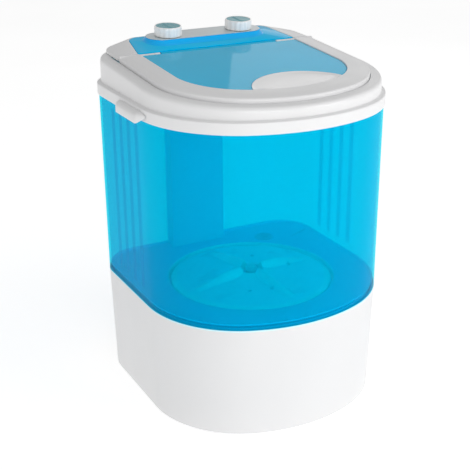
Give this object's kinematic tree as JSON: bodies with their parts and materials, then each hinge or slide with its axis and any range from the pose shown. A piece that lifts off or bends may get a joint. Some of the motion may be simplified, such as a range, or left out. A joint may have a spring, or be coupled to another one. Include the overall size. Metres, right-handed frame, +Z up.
{
  "type": "top load washing machine",
  "caption": "Compact tub washer with translucent blue tub, white base and collar, see-through hinged lid, timer knobs and belt-driven pulsator.",
  "frame": {"origin": "on the floor under the middle of the body, between the feet", "axes": "+Z up, +Y to the back (the console side), +X to the right seen from the front"},
  "size_m": [0.3812, 0.359, 0.5313],
  "materials": {
    "white_shell": "semi-gloss white moulded plastic",
    "blue_tub": "translucent blue moulded plastic",
    "blue_window": "clear blue moulded plastic",
    "blue_panel": "gloss blue moulded plastic",
    "silver_plate": "satin silver foil plate",
    "white_trim": "gloss white moulded plastic",
    "knob_insert": "teal-grey moulded plastic",
    "dark_plastic": "black moulded plastic",
    "rubber": "black rubber",
    "steel": "zinc-plated steel",
    "motor_steel": "pressed steel",
    "pulley": "glass-filled plastic",
    "wire": "insulated wire bundle",
    "blue_pulsator": "gloss pale moulded plastic"
  },
  "bodies": {
    "cabinet": {"base_housing": "white_shell", "base_plate": "white_shell", "foot_front_left": "rubber", "foot_front_right": "rubber", "foot_rear_left": "rubber", "foot_rear_right": "rubber", "foot_screws": "steel", "service_panel": "white_shell", "drain_spigot": "dark_plastic", "cord_gland": "dark_plastic", "tub": "blue_tub", "drain_strainer": "blue_tub", "bearing_housing": "dark_plastic", "upper_bearing": "steel", "lower_bearing": "steel", "shaft_seal": "rubber", "bearing_screws": "steel", "motor_bracket": "motor_steel", "motor_stator": "motor_steel", "motor_grommets": "rubber", "motor_bolts": "steel", "drive_belt": "rubber", "capacitor": "white_trim", "rear_duct": "blue_tub", "wiring_harness": "wire", "top_collar": "white_shell", "rear_cover": "white_shell", "side_grip_left": "white_trim", "side_grip_right": "white_trim", "console_cover": "white_shell", "console_tray": "white_trim", "control_panel": "blue_panel", "panel_plate": "silver_plate", "wash_timer": "dark_plastic", "spin_timer": "dark_plastic", "console_screws": "steel", "hinge_bracket_left": "white_trim", "hinge_bracket_right": "white_trim", "hinge_pin_left": "steel", "hinge_pin_right": "steel"},
    "lid": {"lid_frame": "white_shell", "lid_window": "blue_window", "finger_grip": "white_trim", "hinge_leaf_left": "white_trim", "hinge_leaf_right": "white_trim", "lid_screws": "steel"},
    "pulsator_drive": {"pulsator": "blue_pulsator", "pulsator_screw": "steel", "pulsator_shaft": "steel", "driven_pulley": "pulley", "pulley_nut": "steel"},
    "motor_drive": {"motor_rotor": "steel", "motor_pulley": "pulley"},
    "wash_control": {"wash_knob": "white_trim", "wash_knob_insert": "knob_insert", "wash_timer_shaft": "steel"},
    "spin_control": {"spin_knob": "white_trim", "spin_knob_insert": "knob_insert", "spin_timer_shaft": "steel"}
  },
  "joints": [
    {"name": "lid_hinge", "type": "hinge", "parent": "cabinet", "child": "lid", "pos_m": [0, 0.097, 0.499], "axis": [-1, 0, 0], "range_deg": [0, 90]},
    {"name": "pulsator_spin", "type": "hinge", "parent": "cabinet", "child": "pulsator_drive", "pos_m": [0, 0, 0.17], "axis": [0, 0, 1], "continuous": true},
    {"name": "motor_spin", "type": "hinge", "parent": "cabinet", "child": "motor_drive", "pos_m": [0, 0.108, 0.041], "axis": [0, 0, 1], "continuous": true},
    {"name": "wash_timer_turn", "type": "hinge", "parent": "cabinet", "child": "wash_control", "pos_m": [-0.0588, 0.1505, 0.51402], "axis": [0, 0.0639, -0.998], "range_deg": [0, 300]},
    {"name": "spin_timer_turn", "type": "hinge", "parent": "cabinet", "child": "spin_control", "pos_m": [0.0588, 0.1505, 0.51402], "axis": [0, 0.0639, -0.998], "range_deg": [0, 300]}
  ],
  "couplings": [
    {"joint": "motor_spin", "follows": "pulsator_spin", "ratio": 4.4043}
  ]
}
